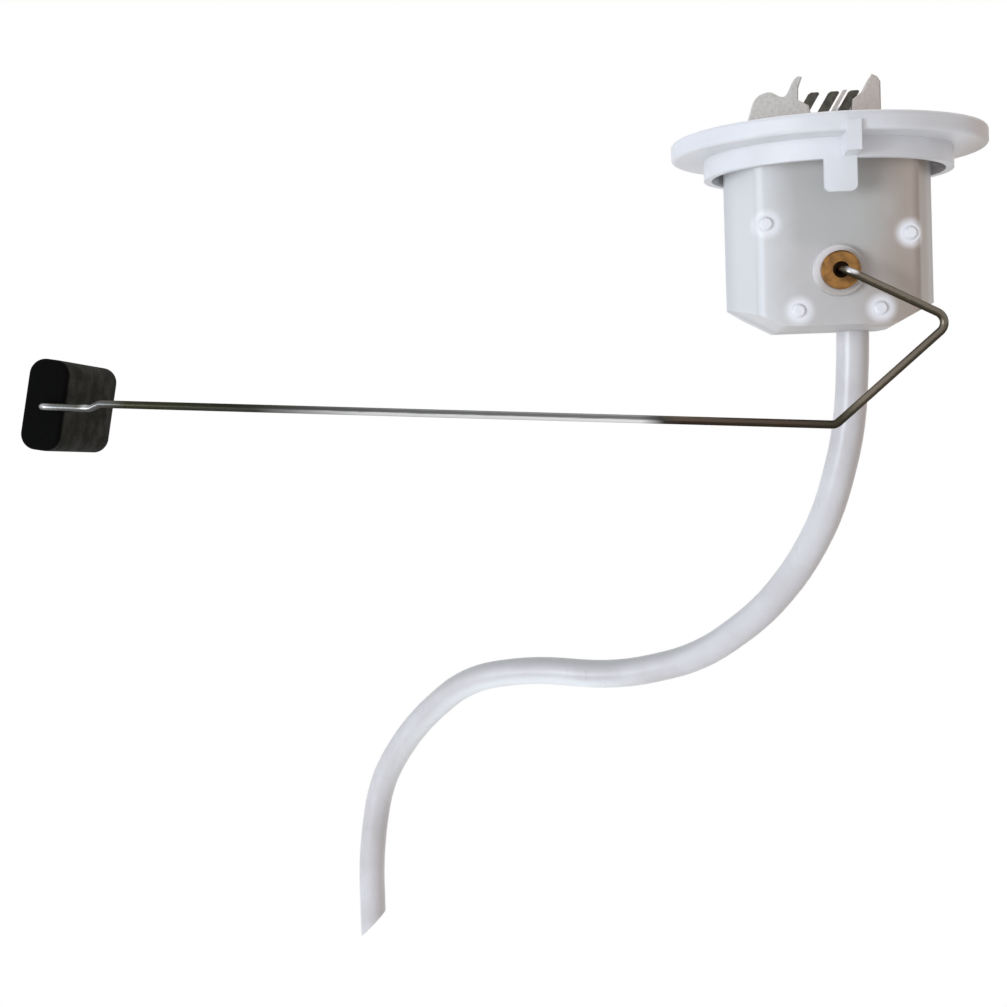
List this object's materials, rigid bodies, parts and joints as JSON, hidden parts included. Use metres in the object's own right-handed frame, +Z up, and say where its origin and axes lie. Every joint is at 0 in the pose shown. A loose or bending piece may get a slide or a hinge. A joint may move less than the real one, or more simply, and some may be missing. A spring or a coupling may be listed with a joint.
{
  "type": "fuel level sender",
  "caption": "Round tank flange with a boxed level sensor below it, a bent wire arm that swings a foam float, and a curved pickup pipe.",
  "frame": {"origin": "centre of the flange's seat, the flat underside that rests on the tank", "axes": "+Z up out of the tank, -Y towards the wire arm, -X towards the float"},
  "size_m": [0.2492, 0.133, 0.263],
  "materials": {
    "white_plastic": "moulded acetal, satin",
    "beige_plastic": "moulded nylon, satin",
    "blade_metal": "dark plated strip",
    "case_plastic": "milky translucent nylon, satin",
    "brass": "turned brass, dulled",
    "spring_steel": "zinc plated",
    "steel_wire": "drawn stainless wire",
    "hub_plastic": "moulded acetal",
    "bronze_strip": "phosphor bronze strip",
    "ceramic": "fired alumina",
    "printed_track": "printed silver",
    "lead_sleeve": "insulated lead",
    "nylon_pipe": "natural nylon, satin",
    "float_foam": "closed-cell nitrile foam"
  },
  "bodies": {
    "sender": {"flange": "white_plastic", "terminal_block": "beige_plastic", "blade_signal": "blade_metal", "blade_ground": "blade_metal", "blade_warning": "blade_metal", "case": "case_plastic", "front_cover": "case_plastic", "brass_bush": "brass", "bush_retainer": "spring_steel", "resistor_card": "ceramic", "contact_bars": "printed_track", "card_bracket": "white_plastic", "card_rivets": "brass", "lead_signal": "lead_sleeve", "lead_ground": "lead_sleeve", "lead_warning": "lead_sleeve", "ground_spring": "bronze_strip", "case_screws": "spring_steel", "pickup_pipe": "nylon_pipe", "pipe_inlet": "nylon_pipe"},
    "arm": {"wire_arm": "steel_wire", "thrust_washer": "hub_plastic", "wiper_hub": "hub_plastic", "shaft_clip": "spring_steel", "wiper_spring": "bronze_strip", "wiper_rivet": "brass", "float_nut": "spring_steel"},
    "float": {"float": "float_foam"}
  },
  "joints": [
    {"name": "arm_pivot", "type": "hinge", "parent": "sender", "child": "arm", "pos_m": [0, -0.0265, -0.0313], "axis": [0, 1, 0], "range_deg": [-54, 12]},
    {"name": "float_swivel", "type": "hinge", "parent": "arm", "child": "float", "pos_m": [-0.2026, -0.031, -0.0586], "axis": [0, 0.9973, -0.0732], "continuous": true}
  ]
}
